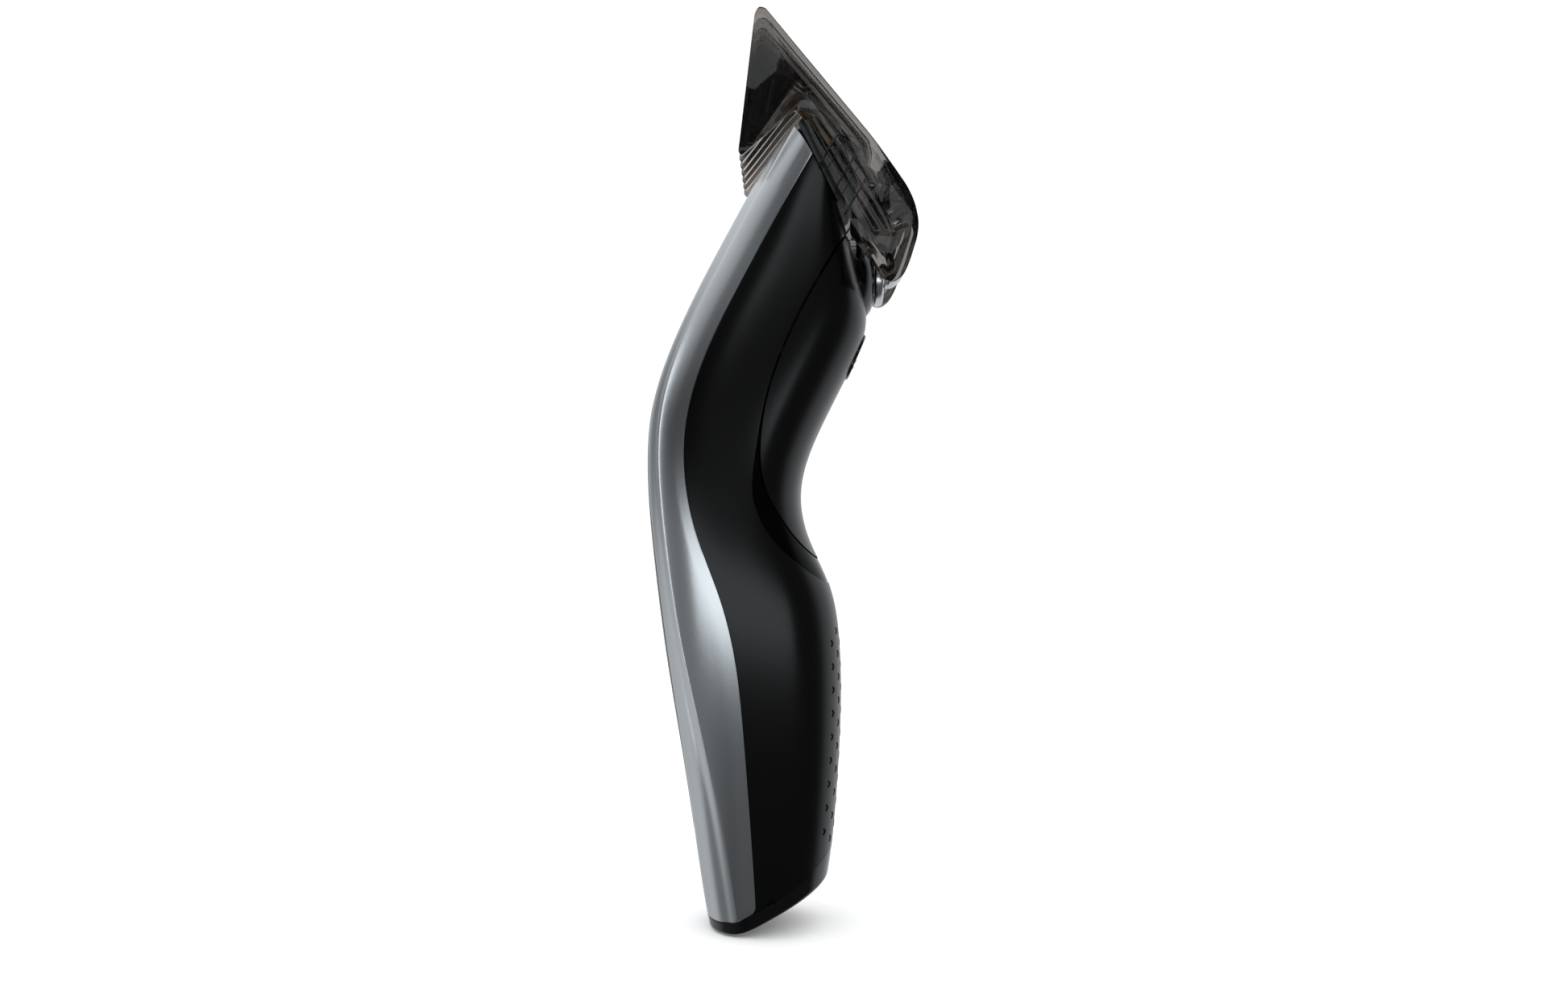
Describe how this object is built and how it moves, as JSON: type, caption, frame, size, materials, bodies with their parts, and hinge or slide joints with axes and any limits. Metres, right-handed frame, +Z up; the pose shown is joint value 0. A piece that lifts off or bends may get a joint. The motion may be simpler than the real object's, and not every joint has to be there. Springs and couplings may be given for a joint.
{
  "type": "hair clipper",
  "caption": "Cordless hair clipper: bent handle with silver back frame and black grip, length dial, side-by-side blades, smoky clip-on comb.",
  "frame": {"origin": "on the ground, under the middle of the clipper's box, as it stands on the flat foot of its bottom cap", "axes": "+Z up along the handle towards the comb's tip, +X to the front, the side with the dial and the button, Y across the width"},
  "size_m": [0.057, 0.046, 0.192],
  "materials": {
    "satin_silver": "satin",
    "satin_black": "satin",
    "graphite": "satin",
    "gloss_black": "gloss",
    "smoky_clear": "clear gloss",
    "steel": "ground",
    "gold_coat": "hard coat",
    "inner_plastic": "moulded",
    "seal_rubber": "soft",
    "board_green": "solder mask",
    "cell_wrap": "shrink wrap",
    "brass_contact": "bright",
    "lamp_clear": "frosted"
  },
  "bodies": {
    "handle": {"main_shell": "satin_black", "silver_frame": "satin_silver", "front_cover": "graphite", "back_panel_upper": "gloss_black", "back_panel_lower": "gloss_black", "bottom_cap": "gloss_black", "thumb_trim": "gloss_black", "dial_pod": "gloss_black", "button_bezel": "gloss_black", "light_guide": "lamp_clear", "chassis": "inner_plastic", "motor_can": "steel", "motor_end_cap": "inner_plastic", "motor_terminal_left": "brass_contact", "motor_terminal_right": "brass_contact", "battery_cell": "cell_wrap", "battery_tab_low": "steel", "battery_tab_high": "steel", "circuit_board": "board_green", "switch_board": "board_green", "tact_switch": "steel", "charging_socket": "inner_plastic", "charging_pin_left": "brass_contact", "charging_pin_right": "brass_contact", "head_plate": "inner_plastic", "head_seal": "seal_rubber", "plate_screw_left": "steel", "plate_screw_right": "steel", "cutting_unit": "satin_black", "fixed_blade": "steel", "blade_spring": "steel", "blade_screw_left": "steel", "blade_screw_right": "steel"},
    "length_dial": {"dial_ring": "steel", "dial_cap": "gloss_black", "dial_shaft": "inner_plastic"},
    "carrier": {"comb_carrier": "satin_black"},
    "comb": {"comb": "smoky_clear"},
    "button": {"power_button": "satin_black"},
    "cutter": {"moving_blade": "gold_coat", "drive_yoke": "gold_coat"},
    "rotor": {"motor_rotor": "brass_contact", "motor_shaft": "steel", "drive_crank": "inner_plastic"}
  },
  "joints": [
    {"name": "dial_turn", "type": "hinge", "parent": "handle", "child": "length_dial", "pos_m": [0.0222, 0, 0.141], "axis": [1, 0, 0], "range_deg": [-28, 286]},
    {"name": "carrier_slide", "type": "slide", "parent": "handle", "child": "carrier", "axis": [0.5, 0, 0.866], "range_m": [-0.00169, 0.01728]},
    {"name": "comb_lift", "type": "slide", "parent": "carrier", "child": "comb", "axis": [0.5, 0, 0.866], "range_m": [0, 0.06]},
    {"name": "button_press", "type": "slide", "parent": "handle", "child": "button", "axis": [-0.9178, 0, 0.3969], "range_m": [0, 0.0008], "stiffness_N_per_m": 800},
    {"name": "blade_slide", "type": "slide", "parent": "handle", "child": "cutter", "axis": [0, 1, 0], "range_m": [-0.0012, 0.0012]},
    {"name": "motor_turn", "type": "hinge", "parent": "handle", "child": "rotor", "pos_m": [0.0097, 0, 0.161], "axis": [0.5, 0, 0.866], "continuous": true}
  ],
  "couplings": [
    {"joint": "dial_turn", "follows": "carrier_slide", "rad_per_m": 288.68}
  ]
}
